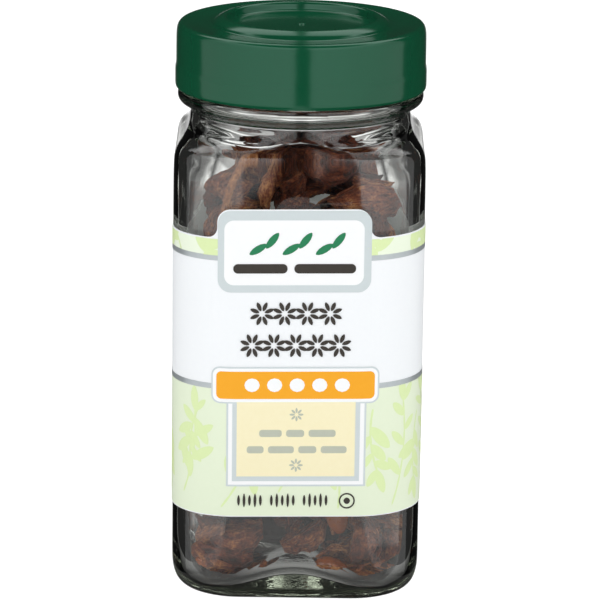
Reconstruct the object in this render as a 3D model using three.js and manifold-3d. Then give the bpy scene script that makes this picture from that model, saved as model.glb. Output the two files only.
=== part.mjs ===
// A square glass spice jar with a screw lid, a wrap-around paper label and whole star anise inside.
// Millimetres, +Z up, the origin at the middle of the base, the label's front facing -Y.
import * as THREE from "three";
import { mergeVertices } from "three/addons/utils/BufferGeometryUtils.js";
import Module from "manifold-3d";

const wasm = await Module();
wasm.setup();

// Driving dimensions
const BODY_HALF_BASE = 22.15; // glass outside, half the width just above the heel
const BODY_HALF_TOP = 22.3; // and just under the shoulder
const CORNER_R = 11.6; // plan radius of the body's corners
const WALL = 2.6; // glass thickness of the body
const SHOULDER_Z = 81.9; // where the flat of the shoulder starts
const NECK_R = 19.6;
const BEAD_R = 21.9; // transfer bead just below the lid
const FINISH_R = 20.2; // glass inside the lid
const BORE_R = 17.4;
const MOUTH_Z = 99.6;
const LID_R = 22.4;
const LID_BOTTOM_Z = 89.8;
const LID_RIM_Z = 101.45;
const LID_RING_TOP_Z = 102.35;
const LABEL_GAP = 0.1;
const LABEL_T = 0.15;
const LABEL_BOTTOM_Z = 16.35; // on the middle of the front face
const LABEL_TOP_Z = 67.2;
const LABEL_SLANT = Math.tan(THREE.MathUtils.degToRad(0.87)); // the label went on a little askew
const TAB_HALF = 14.0; // the label's raised front tab
const TAB_TOP_Z = 72.15;
const POD_LENGTH = 12.8; // one pod of a star, from the star's middle to the beak
const POD_DEPTH = 6.4;
const POD_WIDTH = 4.6;
const STAR_LIFT = 5; // degrees that a star's pods rise towards their beaks

const SEGMENTS = 48; // points round each ring, a quarter of them to a corner and its two half flats

// The point k of a ring: a rounded square of half width w and corner radius c, or a circle when c is null.
function ringPoint(k, w, c) {
  const quarter = SEGMENTS / 4;
  const q = Math.floor(k / quarter);
  const i = k - q * quarter;
  const turn = (q * Math.PI) / 2;
  let x, y;
  if (c === null) {
    const a = (i / quarter) * (Math.PI / 2);
    x = w * Math.cos(a);
    y = w * Math.sin(a);
  } else {
    // from the middle of the +X face: two steps of flat, the corner, two steps of flat
    const arcSteps = quarter - 4;
    const flat = w - c;
    if (i < 2) {
      x = w;
      y = (flat * i) / 2;
    } else if (i <= quarter - 2) {
      const a = ((i - 2) / arcSteps) * (Math.PI / 2);
      x = flat + c * Math.cos(a);
      y = flat + c * Math.sin(a);
    } else {
      x = (flat * (quarter - i)) / 2;
      y = w;
    }
  }
  return [x * Math.cos(turn) - y * Math.sin(turn), x * Math.sin(turn) + y * Math.cos(turn)];
}

// A turned solid whose rings are then squared up. Each row is [half width, z, corner radius or null].
function squaredLathe(rows) {
  const profile = rows.map(([w, z]) => new THREE.Vector2(w, z));
  const geometry = new THREE.LatheGeometry(profile, SEGMENTS);
  const position = geometry.getAttribute("position");
  for (let i = 0; i <= SEGMENTS; i++)
    rows.forEach(([w, z, c], j) => {
      const [x, y] = w === 0 ? [0, 0] : ringPoint(i % SEGMENTS, w, c);
      position.setXYZ(i * rows.length + j, x, y, z);
    });
  return positionsOnly(geometry);
}

function turned(points, segments = 48) {
  const geometry = new THREE.LatheGeometry(
    points.map(([r, z]) => new THREE.Vector2(r, z)),
    segments,
  );
  geometry.rotateX(Math.PI / 2);
  return positionsOnly(geometry);
}

function positionsOnly(geometry) {
  const copy = geometry.clone();
  copy.deleteAttribute("normal");
  copy.deleteAttribute("uv");
  return mergeVertices(copy, 1e-4);
}

function solid(geometry) {
  return new wasm.Manifold(
    new wasm.Mesh({
      numProp: 3,
      vertProperties: new Float32Array(geometry.getAttribute("position").array),
      triVerts: new Uint32Array(geometry.index.array),
    }),
  );
}

function geometryOf(manifold) {
  const mesh = manifold.getMesh();
  const geometry = new THREE.BufferGeometry();
  geometry.setAttribute("position", new THREE.BufferAttribute(mesh.vertProperties, 3));
  geometry.setIndex(new THREE.BufferAttribute(mesh.triVerts, 1));
  return geometry;
}

// Blown glass: the outside from the pushed-up base to the mouth, then the bore and the inside back down.
function cavityRows(gap) {
  const w = BODY_HALF_TOP - WALL - gap;
  const wb = BODY_HALF_BASE - WALL - gap;
  const c = CORNER_R - WALL - gap;
  return [
    [BORE_R - gap, 85.6, null],
    [BORE_R + 0.2 - gap, 83.6, null],
    [w - 1.1, 80.6 - gap, c - 1.1],
    [w - 0.3, 78.4 - gap, c - 0.3],
    [w, 75.5 - gap, c],
    [w, 67, c],
    [wb, 8, c],
    [wb - 0.4, 5.4 + gap, c - 0.4],
    [wb - 1.6, 3.7 + gap, c - 1.6],
    [wb - 3.6, 3.1 + gap, c - 2.4],
    [9, 4.3 + gap, 5],
    [0, 5.2 + gap, null],
  ];
}
const jarRows = [
  [0, 1.5, null],
  [11, 1.3, 6],
  [16.2, 0.7, 8.2],
  [17.6, 0, 8.6],
  [18.5, 0, 9],
  [20.2, 0.55, 10],
  [21.4, 1.9, 10.8],
  [22.0, 3.8, 11.4],
  [BODY_HALF_BASE, 6, CORNER_R],
  [BODY_HALF_TOP, 67, CORNER_R],
  [BODY_HALF_TOP, 75, CORNER_R],
  [BODY_HALF_TOP - 0.05, 78, CORNER_R - 0.3],
  [BODY_HALF_TOP - 0.25, 79.6, CORNER_R - 0.6],
  [BODY_HALF_TOP - 0.8, 80.8, CORNER_R - 1.1],
  [BODY_HALF_TOP - 2, SHOULDER_Z, CORNER_R - 1.6],
  [NECK_R + 0.3, 83.3, null],
  [NECK_R, 84.2, null],
  [NECK_R, 86, null],
  [BEAD_R - 0.5, 87.3, null],
  [BEAD_R, 88, null],
  [BEAD_R, 89.2, null],
  [BEAD_R - 0.3, LID_BOTTOM_Z - 0.3, null],
  [FINISH_R, LID_BOTTOM_Z - 0.3, null],
  [FINISH_R, MOUTH_Z - 0.5, null],
  [FINISH_R - 0.5, MOUTH_Z, null],
  [BORE_R + 0.5, MOUTH_Z, null],
  [BORE_R, MOUTH_Z - 0.5, null],
  ...cavityRows(0),
];

// Moulded lid: a shell open below, a dished top, a round bead on it and a flat middle.
const lidPoints = [
  [0, 100.0],
  [20.7, 100.0],
  [21.2, 99.5],
  [21.25, LID_BOTTOM_Z],
  [LID_R - 0.25, LID_BOTTOM_Z],
  [LID_R, LID_BOTTOM_Z + 0.3],
  [LID_R - 0.02, 94.6],
  [LID_R - 0.1, 95.4],
  [LID_R - 0.18, 100.2],
  [LID_R - 0.35, 100.85],
  [LID_R - 0.75, 101.3],
  [LID_R - 1.25, LID_RIM_Z],
  [16.0, 100.95],
  [15.65, 101.1],
  [15.35, 101.75],
  [14.95, 102.2],
  [14.5, LID_RING_TOP_Z],
  [14.05, 102.2],
  [13.65, 101.75],
  [13.4, 101.1],
  [13.0, 100.95],
  [0, 100.95],
];

// The label is a strip bent round the body. s is measured along the strip from the middle of the front.
function aroundBody(s, offset, z) {
  const t = THREE.MathUtils.clamp((z - 6) / 61, 0, 1);
  const w = THREE.MathUtils.lerp(BODY_HALF_BASE, BODY_HALF_TOP, t);
  const flat = w - CORNER_R;
  const arc = (CORNER_R * Math.PI) / 2;
  const side = 2 * flat + arc;
  // quarters are counted from the middle of a corner's first flat
  const q = Math.floor((s + side / 2) / side);
  let d = s - q * side;
  let x, y;
  if (Math.abs(d) <= flat) {
    x = d;
    y = -(w + offset);
  } else {
    const a = (Math.abs(d) - flat) / CORNER_R;
    x = Math.sign(d) * (flat + (CORNER_R + offset) * Math.sin(a));
    y = -(flat + (CORNER_R + offset) * Math.cos(a));
  }
  const turn = (q * Math.PI) / 2;
  return [x * Math.cos(turn) - y * Math.sin(turn), x * Math.sin(turn) + y * Math.cos(turn)];
}

// Half the outline of the tab: distance beyond the tab's straight side, height above the label's edge.
const tabEdge = [
  [2.2, 0],
  [1.1, 0.1],
  [0.45, 0.5],
  [0.15, 1.2],
  [0, 3.2],
  [-0.35, 4.2],
  [-1.1, 4.75],
  [-2.4, TAB_TOP_Z - LABEL_TOP_Z],
];

function tabHeight(s) {
  const d = Math.abs(s) - TAB_HALF;
  if (d >= tabEdge[0][0]) return 0;
  for (let i = 1; i < tabEdge.length; i++) {
    const [d0, h0] = tabEdge[i - 1];
    const [d1, h1] = tabEdge[i];
    if (d >= d1) return h0 + ((h1 - h0) * (d0 - d)) / (d0 - d1);
  }
  return TAB_TOP_Z - LABEL_TOP_Z;
}

function labelGeometry() {
  const flat = BODY_HALF_TOP - CORNER_R;
  const arc = (CORNER_R * Math.PI) / 2;
  const half = 2 * (2 * flat + arc) - 0.2; // the ends meet at the middle of the back
  const places = [0, half];
  for (const [d] of tabEdge) places.push(TAB_HALF + d);
  for (let corner = 0; corner < 2; corner++)
    for (let i = 0; i <= 8; i++) places.push(flat + corner * (2 * flat + arc) + (arc * i) / 8);
  const stations = [];
  for (const s of places) {
    stations.push([s, tabHeight(s)]);
    if (s > 0) stations.push([-s, tabHeight(s)]);
  }
  stations.sort((a, b) => a[0] - b[0]);
  const n = stations.length - 1;
  const geometry = positionsOnly(new THREE.BoxGeometry(n, 1, 1, n, 1, 1));
  const position = geometry.getAttribute("position");
  for (let i = 0; i < position.count; i++) {
    const [s, h] = stations[Math.round(position.getX(i) + n / 2)];
    const outside = position.getY(i) < 0;
    const top = position.getZ(i) > 0;
    const z = (top ? LABEL_TOP_Z + h : LABEL_BOTTOM_Z) + s * LABEL_SLANT;
    const [x, y] = aroundBody(s, LABEL_GAP + (outside ? LABEL_T : 0), z);
    position.setXYZ(i, x, y, z);
  }
  return geometry;
}

// A pod is a boat with a beak. It lies along +X from its star's middle and opens to +Z.
// Each station is [part of the length, keel under the lip, half width, lip], in parts of depth and width.
const podTail = [0.07, 0, 0, -0.3];
const podBeak = [1, 0, 0, 0.2];
const podStations = [
  [0.24, 0.86, 0.8, 0.02],
  [0.64, 0.84, 0.92, 0.06],
];
// Round its section, [part of the half width, part of the keel]: the keel, a flank, the lips, a flank
const podSection = [
  [0, 1],
  [1, 0.5],
  [0.45, 0],
  [-0.45, 0],
  [-1, 0.5],
];

function podSolid(matrix, { length = POD_LENGTH, width = POD_WIDTH, depth = POD_DEPTH, sag = 0 } = {}) {
  const rows = [podTail, ...podStations, podBeak];
  const profile = rows.map(([u, , half]) => new THREE.Vector2(half, u));
  const geometry = new THREE.LatheGeometry(profile, podSection.length);
  const position = geometry.getAttribute("position");
  for (let i = 0; i < position.count; i++) {
    const [u, keel, half, lip] = rows[i % rows.length];
    const [side, down] = podSection[Math.floor(i / rows.length) % podSection.length];
    const bow = sag * (u - 0.5) ** 2; // lets the two ends droop
    position.setXYZ(i, u * length, (side * half * width) / 2, (lip - down * keel) * depth + bow);
  }
  geometry.applyMatrix4(matrix);
  return solid(positionsOnly(geometry));
}

function starSolid(matrix, measures) {
  const pods = [];
  for (let i = 0; i < 8; i++) {
    const grow = new THREE.Matrix4().makeRotationZ((i * Math.PI) / 4);
    grow.multiply(new THREE.Matrix4().makeRotationY(THREE.MathUtils.degToRad(-STAR_LIFT)));
    pods.push(podSolid(matrix.clone().multiply(grow), measures));
  }
  return pods.reduce((a, b) => a.add(b));
}

// Where a pod or star lies: its middle, the way its length or first pod runs, and the way it opens
function seat(place, along, mouth, size = 1) {
  const x = new THREE.Vector3(...along).normalize();
  const y = new THREE.Vector3(...mouth).cross(x).normalize();
  const turn = new THREE.Matrix4().makeBasis(x, y, x.clone().cross(y));
  return turn.scale(new THREE.Vector3(size, size, size)).setPosition(...place);
}

// The stars that show: one flat on top, one flat below it, one on its side at the left, one at the back
const stars = [
  [[0.2, 0.4, 80.2], [1, 0.05, 0], [0, 0.22, 0.98], 1.04, { depth: 3.2 }],
  [[-2, -4.6, 77.2], [0.87, -0.5, -0.18], [0.2, 0.02, 0.98], 0.92],
  [[-13, -11.4, 71.2], [-0.1, -0.1, 1], [0.75, 0.62, 0.1], 0.62],
  [[9, 10.6, 67], [0.3, -0.1, 1], [-0.4, -0.9, 0.1], 0.72],
];
// The loose pods that show above the label, then those below it
const upperPods = [
  [[17, -13.9, 77.2], [-1, -0.04, -0.36], [-0.05, -0.3, 0.95], 1, { depth: 8.2, width: 5.6, length: 13.2, sag: -9 }],
  [[8.6, -9, 76.2], [1, -0.1, -0.16], [0, -0.3, 0.95], 0.84, { depth: 4.6 }],
  [[0.6, -8, 79.4], [1, -0.06, -0.2], [0.2, 0.7, 0.7], 0.78],
  [[3, 4.4, 78.4], [1, 0.1, -0.05], [0, -0.3, 0.95]],
  [[5.2, -2.8, 76], [1, 0.3, -0.1], [0, -0.5, 0.85], 0.95],
  [[-5.2, -14.2, 70.2], [0.02, -0.03, 1], [0.4, 0.9, 0], 0.66],
  [[-0.6, -3.4, 72], [0.15, -1, 0.02], [0.3, 0, 0.95], 0.96],
  [[-7.4, -3.6, 70.6], [0.1, -1, 0], [-0.2, 0, 0.97], 0.94],
  [[-5.2, -13.8, 60], [0.02, -0.1, 1], [0.9, -0.4, 0], 0.8],
  [[-0.6, -13.8, 60.4], [-0.06, -0.08, 1], [0.9, 0.3, 0], 0.84],
  [[-12.4, -12.4, 60.8], [-0.04, -0.12, 1], [0.7, -0.6, 0], 0.86],
  [[13, -10.2, 60.2], [0.1, -0.06, 1], [-0.6, 0.7, 0.1], 0.78],
  [[3.4, -12.6, 66], [1, -0.1, 0.1], [0, -0.6, 0.8], 0.9],
];
const lowerPods = [
  [[-5, -13.4, 13.4], [-1, 0.03, -0.1], [0, 0.5, 0.85], 1, { depth: 6.8 }],
  [[-6.6, -13, 8.9], [-1, 0.02, -0.06], [0, 0.9, 0.3], 0.96],
  [[5.4, -12.6, 14.4], [-0.78, -0.2, -0.58], [-0.2, 0.7, 0.6], 0.86],
  [[15, -13.4, 7], [-1, -0.12, 0.02], [0, -0.62, 0.78], 0.9, { depth: 4.4, sag: 2 }],
  [[7.4, -11.4, 13.2], [1, -0.05, 0.02], [0.1, -0.7, 0.7], 0.9],
  [[8.6, -13, 19.8], [0.05, -0.1, -1], [-0.7, -0.7, 0], 0.8],
  [[13.6, -13, 13.6], [-0.04, -0.12, -1], [0.3, 0.95, 0], 0.72, { depth: 4.4 }],
  [[16.2, -11.2, 14.8], [0.1, 0.04, -1], [-0.9, 0.5, 0], 0.8],
  [[4, -10, 10.6], [1, -0.1, -0.08], [0, -0.4, 0.9]],
  [[0.4, -9.4, 16], [-0.3, 0.1, -1], [-0.3, 0.9, 0], 0.84],
  [[-8, -13, 19.6], [-1, 0.14, -0.1], [0, 0.6, 0.8], 0.9],
];
const SIDE_DROP = 4.5; // above the label, the pods of the other three sides lie this much lower
const INNER_Y = -9.5; // and those that start nearer the middle than this lie at the front alone

// The heap: a core that nothing shows of, with the stars and loose pods nearest the glass fused onto it
function heapSolid() {
  let heap = solid(
    squaredLathe([
      [0, 7.5, null],
      [10, 7.5, 5],
      [14, 10, 7],
      [14.6, 40, 7],
      [14.2, 62, 7],
      [12.6, 66.5, 6],
      [0, 69, null],
    ]),
  );
  for (const [place, along, mouth, size, measures] of stars)
    heap = heap.add(starSolid(seat(place, along, mouth, size), measures));
  for (let side = 0; side < 4; side++) {
    const face = new THREE.Matrix4().makeRotationZ((side * Math.PI) / 2);
    const flip = side % 2 ? -1 : 1;
    for (const pods of [upperPods, lowerPods])
      for (const [place, along, mouth, size, measures] of pods) {
        if (side > 0 && place[1] > INNER_Y) continue;
        const [at, way, open] = [place, along, mouth].map(([x, y, z]) => [flip * x, y, z]);
        if (side > 0 && pods === upperPods) at[2] -= SIDE_DROP;
        heap = heap.add(podSolid(face.clone().multiply(seat(at, way, open, size)), measures));
      }
  }
  heap = heap.intersect(solid(squaredLathe([...cavityRows(0.3).reverse(), [0, 85.6, null]])));
  // the largest closed surface alone leaves out loose scraps and fills sealed hollows
  return heap.decompose().reduce((a, b) => (b.volume() > a.volume() ? b : a));
}

function piece(name, geometry, color, roughness, metalness = 0) {
  const mesh = new THREE.Mesh(geometry, new THREE.MeshStandardMaterial({ color, roughness, metalness }));
  mesh.name = name;
  return mesh;
}

const jar = new THREE.Group();
jar.add(piece("glass_jar", squaredLathe(jarRows), 0xc9d4cc, 0.05));
jar.add(piece("lid", turned(lidPoints), 0x14502f, 0.25));
jar.add(piece("label", labelGeometry(), 0xf4f8ee, 0.6));
jar.add(piece("star_anise", geometryOf(heapSolid()), 0x6a3a26, 0.75));

export default jar;
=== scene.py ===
"""A shut square glass spice jar of whole star anise, with a green screw lid and a wrap-around paper label.

Every piece is modelled in millimetres and brought to metres when it is set down.
"""

import math
import random

import bmesh
import bpy
from mathutils import Matrix, Vector, noise


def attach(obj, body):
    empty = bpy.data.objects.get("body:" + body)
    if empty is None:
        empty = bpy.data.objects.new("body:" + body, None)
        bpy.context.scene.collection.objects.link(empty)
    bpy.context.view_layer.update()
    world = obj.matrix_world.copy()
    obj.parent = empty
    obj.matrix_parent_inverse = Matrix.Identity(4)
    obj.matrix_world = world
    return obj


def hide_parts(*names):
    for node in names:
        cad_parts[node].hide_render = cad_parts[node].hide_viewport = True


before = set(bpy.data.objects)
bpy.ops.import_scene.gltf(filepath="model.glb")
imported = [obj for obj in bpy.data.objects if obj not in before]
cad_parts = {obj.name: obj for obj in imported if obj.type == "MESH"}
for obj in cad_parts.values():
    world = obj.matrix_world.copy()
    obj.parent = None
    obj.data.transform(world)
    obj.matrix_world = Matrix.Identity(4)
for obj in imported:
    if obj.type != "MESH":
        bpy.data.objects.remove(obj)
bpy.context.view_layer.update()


# ---- Camera and studio -------------------------------------------------------------------------
# A long lens looks a little down on the front of the label. The jar stands on a white sweep between
# two tall soft boxes, with a narrow dark gap between them where the camera stands.
CAMERA_PLACE = Vector((0.35, -774.73, 249.80))
CAMERA_DOWN = 14.439
CAMERA_ROLL = 0.75
LENS = 266.0
MM = 0.001

bpy.ops.object.select_all(action="DESELECT")
bpy.ops.object.camera_add()
camera = bpy.context.object
camera.name = "studio_camera"
camera.data.lens = LENS
camera.data.clip_start = 0.05
camera.matrix_world = (
    Matrix.Translation(CAMERA_PLACE * MM)
    @ Matrix.Rotation(math.radians(90 - CAMERA_DOWN), 4, "X")
    @ Matrix.Rotation(math.radians(CAMERA_ROLL), 4, "Z")
)
bpy.context.scene.camera = camera
bpy.context.scene.view_settings.view_transform = "Standard"


def ink(hex_code):
    """The linear colour of an sRGB hex code."""
    parts = [int(hex_code[i : i + 2], 16) / 255 for i in (1, 3, 5)]
    return [p / 12.92 if p <= 0.04045 else ((p + 0.055) / 1.055) ** 2.4 for p in parts] + [1.0]


def add_node(tree, kind, settings=None):
    """Adds one node. A setting is a property, or an input that gets a value or another node's socket."""
    new = tree.nodes.new(kind)
    for name, value in (settings or {}).items():
        if isinstance(name, str) and hasattr(new, name):
            setattr(new, name, value)
        elif isinstance(value, bpy.types.NodeSocket):
            tree.links.new(value, new.inputs[name])
        else:
            new.inputs[name].default_value = value
    return new


def new_material(name, settings):
    """A material whose Principled shader takes these settings, with its tree and that shader."""
    material = bpy.data.materials.new(name)
    material.use_nodes = True
    shader = material.node_tree.nodes["Principled BSDF"]
    for socket, value in settings.items():
        shader.inputs[socket].default_value = value
    return material, material.node_tree, shader


# Soft boxes by the compass, in degrees from the camera's side, with dark studio beyond them.
BOX_LEFT = (-104.0, -5.0)
BOX_RIGHT = (8.5, 108.0)
BOX_TOP = 52.0
BOX_EDGE = 1.6
BOX_FOOT = -22.0
BOX_LIGHT = 1.42
# The boxes lean in, so they are brighter towards their tops.
BOX_RISE = (20.0, 52.0, 1.7)
# They are dimmer towards their far ends: how much so, and where.
BOX_FALL = 0.5
BOX_FALL_AT = 105.0
DARK_LIGHT = 0.018
# A narrow light over and a little behind the jar, in two halves: its lean from the back, in degrees, and
# its reach aside.
OVERHEAD_LEAN = (46.0, 84.0)
OVERHEAD_ASIDE = (0.035, 0.66)
OVERHEAD_LIGHT = 2.1
# What is seen of the sweep behind the jar, by the compass and by height.
SWEEP_BACK_FROM = 168.0
SWEEP_EDGE = 8.0
SWEEP_TOP = -1.0
SWEEP_LIGHT = 0.36
# A brighter band low on the back of the sweep, by its height.
GLOW_BAND = (-9.5, -3.5)
GLOW_LIGHT = 0.75

studio = bpy.data.worlds.new("studio")
bpy.context.scene.world = studio
studio.use_nodes = True
sky = studio.node_tree
sky.nodes.clear()


def sky_sum(operation, first, second=0.0, third=0.0):
    """One sum of up to three numbers in the studio's light."""
    return add_node(sky, "ShaderNodeMath", {"operation": operation, 0: first, 1: second, 2: third}).outputs[0]


def sky_band(value, low, high, edge):
    """1 between low and high, 0 outside, with soft edges."""
    sides = []
    for middle, start in ((low, 0.0), (high, 1.0)):
        side = {"interpolation_type": "SMOOTHSTEP", "Value": value, "To Min": start, "To Max": 1.0 - start}
        side = {**side, "From Min": middle - edge, "From Max": middle + edge}
        sides.append(add_node(sky, "ShaderNodeMapRange", side).outputs[0])
    return sky_sum("MULTIPLY", *sides)


DEGREES = 180 / math.pi
look = add_node(sky, "ShaderNodeTexCoord").outputs["Generated"]
look_x, look_y, look_z = add_node(sky, "ShaderNodeSeparateXYZ", {0: look}).outputs
compass = sky_sum("MULTIPLY", sky_sum("ARCTAN2", look_x, sky_sum("MULTIPLY", look_y, -1.0)), DEGREES)
height = sky_sum("MULTIPLY", sky_sum("ARCSINE", look_z), DEGREES)
round_back = sky_sum("ABSOLUTE", compass)
boxes = sky_sum("ADD", sky_band(compass, *BOX_LEFT, BOX_EDGE), sky_band(compass, *BOX_RIGHT, BOX_EDGE))
boxes = sky_sum("MULTIPLY", boxes, sky_band(height, BOX_FOOT, BOX_TOP, 2.0))
box_rise = {"From Min": BOX_RISE[0], "From Max": BOX_RISE[1], "To Min": 1.0, "To Max": BOX_RISE[2]}
box_rise = add_node(sky, "ShaderNodeMapRange", {"Value": height, **box_rise})
boxes = sky_sum("MULTIPLY", boxes, box_rise.outputs[0])
far_out = sky_sum("POWER", sky_sum("DIVIDE", round_back, BOX_FALL_AT), 2.0)
boxes = sky_sum("MULTIPLY", boxes, sky_sum("MULTIPLY_ADD", far_out, -BOX_FALL, 1.0))
lean = sky_sum("MULTIPLY", sky_sum("ARCTAN2", look_z, look_y), DEGREES)
aside = sky_sum("ABSOLUTE", look_x)
overhead = sky_sum("MULTIPLY", sky_band(lean, *OVERHEAD_LEAN, 6.0), sky_band(aside, *OVERHEAD_ASIDE, 0.02))
sweep_wide = sky_band(round_back, SWEEP_BACK_FROM, 200.0, SWEEP_EDGE)
sweep = sky_sum("MULTIPLY", sweep_wide, sky_band(height, -95.0, SWEEP_TOP, 1.5))
back_glow = sky_sum("MULTIPLY_ADD", sky_band(height, *GLOW_BAND, 2.0), GLOW_LIGHT, SWEEP_LIGHT)
light = sky_sum("MULTIPLY_ADD", boxes, BOX_LIGHT, DARK_LIGHT)
light = sky_sum("ADD", light, sky_sum("MULTIPLY", overhead, OVERHEAD_LIGHT))
light = sky_sum("ADD", light, sky_sum("MULTIPLY", sweep, back_glow))
seen = add_node(sky, "ShaderNodeLightPath").outputs["Is Camera Ray"]
lit = add_node(sky, "ShaderNodeBackground", {"Color": (1, 1, 1, 1), "Strength": light})
plain = add_node(sky, "ShaderNodeBackground", {"Color": (1, 1, 1, 1), "Strength": 1.0})
either = add_node(sky, "ShaderNodeMixShader", {0: seen, 1: lit.outputs[0], 2: plain.outputs[0]})
add_node(sky, "ShaderNodeOutputWorld", {"Surface": either.outputs[0]})

# The sweep: a white matt board, lit until it is pure white. A strip of it in front of and behind the
# jar shows in the glass. The board beyond only meets the eye and catches stray light.
STRIP = (-27.0, 27.0, -361.0, 110.0)
FAR_BOARD = 3000.0
# What the eye sees of both boards, and how much light the far one gives the jar.
BOARD_PAINT = 0.35
BOARD_WHITE = 0.85
BOARD_GLOW = 0.6
# How brightly the strip glows and is painted for the jar, and the painted shadow that the jar stands in.
STRIP_GLOW = 0.56
STRIP_PAINT = 0.5
SHADE = 0.07
SHADE_REACH = (0.024, 0.052)
# A painted pool of light on the strip under the jar, where its pushed-up base would gather light.
UNDER_MIDDLE = (0, -0.006, 0)
UNDER_REACH = (0.006, 0.016)
UNDER_LIGHT = 0.42


def white_board(name):
    """Painted matt board with a soft glow."""
    return new_material(name, {
        "Base Color": (BOARD_PAINT, BOARD_PAINT, BOARD_PAINT, 1), "Roughness": 0.9, "Specular IOR Level": 0.0,
        "Emission Color": (1, 1, 1, 1),
    })


board, board_tree, board_shader = white_board("matt_white_board")
straight_on = add_node(board_tree, "ShaderNodeLightPath").outputs["Is Camera Ray"]
board_light = {"Factor": straight_on, "A": BOARD_GLOW, "B": BOARD_WHITE}
board_light = add_node(board_tree, "ShaderNodeMix", board_light)
board_tree.links.new(board_light.outputs["Result"], board_shader.inputs["Emission Strength"])

# The strip looks plain white straight on. What the glass shows of it has a painted shadow round the jar's
# foot and a painted pool of light under its base.
strip_board, strip_tree, strip_shader = white_board("shaded_white_board")
spot = add_node(strip_tree, "ShaderNodeTexCoord").outputs["Object"]
from_jar = add_node(strip_tree, "ShaderNodeVectorMath", {"operation": "LENGTH", 0: spot})
from_under = add_node(strip_tree, "ShaderNodeVectorMath", {"operation": "DISTANCE", 0: spot, 1: UNDER_MIDDLE})
rings = []
for away, reach, near, far in (
    (from_jar, SHADE_REACH, SHADE, 1.0),
    (from_under, UNDER_REACH, UNDER_LIGHT, 0.0),
):
    ring = {"From Min": reach[0], "From Max": reach[1], "To Min": near, "To Max": far}
    ring = add_node(strip_tree, "ShaderNodeMapRange", {"Value": away.outputs["Value"], **ring})
    rings.append(ring.outputs[0])
shade = add_node(strip_tree, "ShaderNodeMath", {"operation": "MAXIMUM", 0: rings[0], 1: rings[1]}).outputs[0]
shaded = add_node(strip_tree, "ShaderNodeMath", {"operation": "MULTIPLY", 0: shade, 1: STRIP_GLOW}).outputs[0]
painted = add_node(strip_tree, "ShaderNodeMath", {"operation": "MULTIPLY", 0: shaded, 1: STRIP_PAINT})
straight_on = add_node(strip_tree, "ShaderNodeLightPath").outputs["Is Camera Ray"]
strip_light = add_node(strip_tree, "ShaderNodeMix", {"Factor": straight_on, "A": shaded, "B": BOARD_WHITE})
strip_tree.links.new(strip_light.outputs["Result"], strip_shader.inputs["Emission Strength"])
strip_paint = {"Factor": straight_on, "A": painted.outputs[0], "B": BOARD_PAINT}
strip_paint = add_node(strip_tree, "ShaderNodeMix", strip_paint)
strip_tree.links.new(strip_paint.outputs["Result"], strip_shader.inputs["Base Color"])

for name, left, right, front, back, level, paint in (
    ("board_strip", *STRIP, -0.00002, strip_board),
    ("far_board", -FAR_BOARD, FAR_BOARD, -FAR_BOARD, FAR_BOARD, -0.00006, board),
):
    middle = ((left + right) / 2 * MM, (front + back) / 2 * MM, level)
    bpy.ops.mesh.primitive_plane_add(size=1, location=middle)
    part = bpy.context.object
    part.name = name
    part.scale = ((right - left) * MM, (back - front) * MM, 1)
    bpy.ops.object.transform_apply(location=True, rotation=True, scale=True)
    part.data.materials.append(paint)
    part.visible_glossy = name == "board_strip"
    part.visible_transmission = name == "board_strip"


# ---- Glass jar ---------------------------------------------------------------------------------
# A square jar of clear soda-lime glass, blown in a mould: rounded corners, a pushed-up base, and a
# round neck with a bead below the finish. The mould leaves the outside true and the inside uneven.
JAR_POINTS = 160
# Half width, height and corner radius of each level, up the outside and then down the inside.
JAR_OUTSIDE = [
    (11, 1.3, 6), (16.2, 0.7, 8.2), (17.6, 0, 8.6), (18.5, 0, 9), (20.2, 0.55, 10), (21.4, 1.9, 10.8),
    (22, 3.8, 11.4), (22.15, 6, 11.6), (22.15, 12, 11.6), (22.2, 30, 11.6), (22.27, 50, 11.6),
    (22.3, 67, 11.6), (22.3, 75, 11.6), (22.25, 78.0, 11.3), (22.12, 79.6, 11.0), (21.6, 81.0, 11.0),
    (20.8, 82.0, 12.2), (20.05, 83.0, 14), (19.7, 84.0, 16.2), (19.62, 85.0, 18.6), (19.6, 85.6, 19.6),
    (19.6, 86, 19.6), (20.6, 86.9, 20.6), (21.6, 87.4, 21.6), (21.95, 88.2, 21.95), (21.9, 89.2, 21.9),
    (21.4, 89.6, 21.4), (20.2, 89.6, 20.2), (20.2, 91, 20.2), (20.2, 97, 20.2), (20.1, 99.2, 20.1),
    (19.5, 99.6, 19.5),
]
JAR_INSIDE = [
    (18.0, 99.6, 18.0), (17.4, 99.2, 17.4), (17.4, 97, 17.4), (17.4, 88, 17.4), (17.4, 85.6, 17.4),
    (17.6, 83.6, 17.6), (18.4, 81.0, 10), (19.3, 78.6, 9), (19.7, 75.5, 9), (19.7, 67, 9), (19.65, 50, 9),
    (19.6, 30, 9), (19.55, 12, 9), (19.4, 7.4, 8.9), (19.0, 5.2, 8.5), (17.9, 3.7, 7.4), (15.9, 3.2, 6.6),
    (9, 4.3, 5),
]
# The shoulder stands a little higher over the corners.
EAR_FROM = 76.0
EAR_HIGH = 8.5
EAR_RISE = 0.6
# How far the front and back are drawn in beside their middles, where the shoulder starts to turn.
FACE_CROWN = 0.7
CROWN_FROM = 70.0
CROWN_FULL = 81.0
CROWN_END = 83.5
# How uneven the mould leaves the inside, up the walls and over the floor.
INNER_WAVE = 0.13
FLOOR_WAVE = 2.2
# The height of the pushed-up middle, inside and underneath.
FLOOR_MIDDLE = 5.1
BASE_MIDDLE = 1.5


def softened(rows, times=2):
    """Cuts the corners of a profile until it runs smoothly, with its two ends kept."""
    for _ in range(times):
        cut = [rows[0]]
        for a, b in zip(rows, rows[1:]):
            cut.append(tuple(0.75 * p + 0.25 * q for p, q in zip(a, b)))
            cut.append(tuple(0.25 * p + 0.75 * q for p, q in zip(a, b)))
        rows = cut + [rows[-1]]
    return rows


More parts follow.
